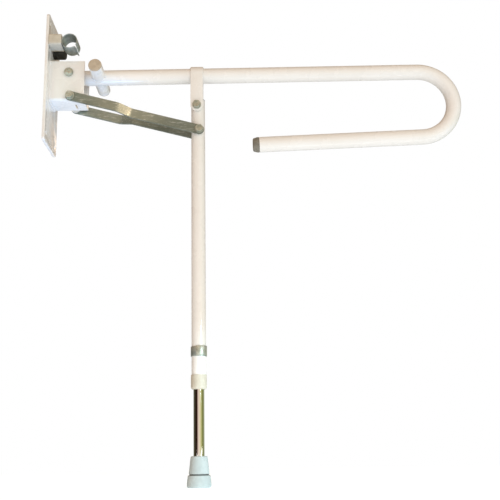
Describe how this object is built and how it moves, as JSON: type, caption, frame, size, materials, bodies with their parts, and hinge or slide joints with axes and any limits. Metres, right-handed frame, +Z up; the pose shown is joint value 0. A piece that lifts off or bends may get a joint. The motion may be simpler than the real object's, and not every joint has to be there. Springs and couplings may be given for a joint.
{
  "type": "toilet safety rail",
  "caption": "Wall-hinged fold-up toilet grab rail on a linked drop leg with an adjustable rubber foot and a parking clip.",
  "frame": {"origin": "centre of the wall plate's back face", "axes": "+X away from the wall along the lowered rail, +Z up along the leg, +Y across the rail, away from the parking clip"},
  "size_m": [0.7781, 0.114, 0.86],
  "materials": {
    "white_powder_coat": "gloss",
    "strut_paint": "satin",
    "zinc_plate": "satin",
    "spring_steel": "satin",
    "chrome_plate": "mirror",
    "beige_plastic": "matte",
    "warm_grey_plastic": "matte",
    "dark_grey_plastic": "matte",
    "nylon": "matte",
    "foot_rubber": "matte",
    "black_rubber": "matte"
  },
  "bodies": {
    "wall_bracket": {"wall_plate": "white_powder_coat", "hinge_channel": "white_powder_coat", "clip_standoff": "warm_grey_plastic", "parking_clip": "spring_steel", "clip_screw": "zinc_plate", "rail_buffer": "black_rubber", "rail_pivot_bolt": "zinc_plate", "rail_pivot_nut": "zinc_plate", "rail_pivot_washer_near": "zinc_plate", "rail_pivot_washer_far": "zinc_plate", "strut_pivot_bolt": "zinc_plate", "strut_pivot_nut": "zinc_plate", "strut_pivot_washer_near": "zinc_plate", "strut_pivot_washer_far": "zinc_plate", "strut_pivot_spacer_near": "nylon", "strut_pivot_spacer_far": "nylon"},
    "rail": {"rail_tube": "white_powder_coat", "rail_pivot_bush": "zinc_plate", "rail_end_cap": "dark_grey_plastic", "park_stub_near": "white_powder_coat", "park_stub_far": "white_powder_coat", "park_stub_cap_near": "beige_plastic", "park_stub_cap_far": "beige_plastic", "leg_hanger": "white_powder_coat", "leg_pivot_bolt": "zinc_plate", "leg_pivot_nut": "zinc_plate", "leg_pivot_washer_near": "zinc_plate", "leg_pivot_washer_far": "zinc_plate", "leg_pivot_spacer_near": "nylon", "leg_pivot_spacer_far": "nylon"},
    "struts": {"strut_near": "strut_paint", "strut_far": "strut_paint"},
    "leg": {"leg_tube": "white_powder_coat", "leg_top_plug": "dark_grey_plastic", "leg_pivot_bush": "zinc_plate", "strut_leg_bolt": "zinc_plate", "strut_leg_nut": "zinc_plate", "strut_leg_washer_near": "zinc_plate", "strut_leg_washer_far": "zinc_plate", "strut_leg_spacer_near": "nylon", "strut_leg_spacer_far": "nylon", "leg_end_bush": "warm_grey_plastic"},
    "height_clip": {"height_clip": "spring_steel"},
    "inner_leg": {"inner_tube": "chrome_plate", "inner_tube_glide": "nylon", "foot_ferrule": "foot_rubber", "foot_disc": "zinc_plate"}
  },
  "joints": [
    {"name": "rail_fold", "type": "hinge", "parent": "wall_bracket", "child": "rail", "pos_m": [0.04, 0, 0.0155], "axis": [0, -1, 0], "range_deg": [0, 85]},
    {"name": "strut_swing", "type": "hinge", "parent": "wall_bracket", "child": "struts", "pos_m": [0.0445, 0, -0.033], "axis": [0, -1, 0], "range_deg": [0, 85]},
    {"name": "leg_swing", "type": "hinge", "parent": "rail", "child": "leg", "pos_m": [0.2775, 0, -0.047], "axis": [0, -1, 0], "range_deg": [-85, 0]},
    {"name": "height_clip_pull", "type": "slide", "parent": "leg", "child": "height_clip", "axis": [0, -1, 0], "range_m": [0, 0.01]},
    {"name": "leg_extend", "type": "slide", "parent": "leg", "child": "inner_leg", "axis": [0, 0, 1], "range_m": [-0.05, 0.05]}
  ],
  "couplings": [
    {"joint": "strut_swing", "follows": "rail_fold", "ratio": 1},
    {"joint": "leg_swing", "follows": "rail_fold", "ratio": -1}
  ]
}
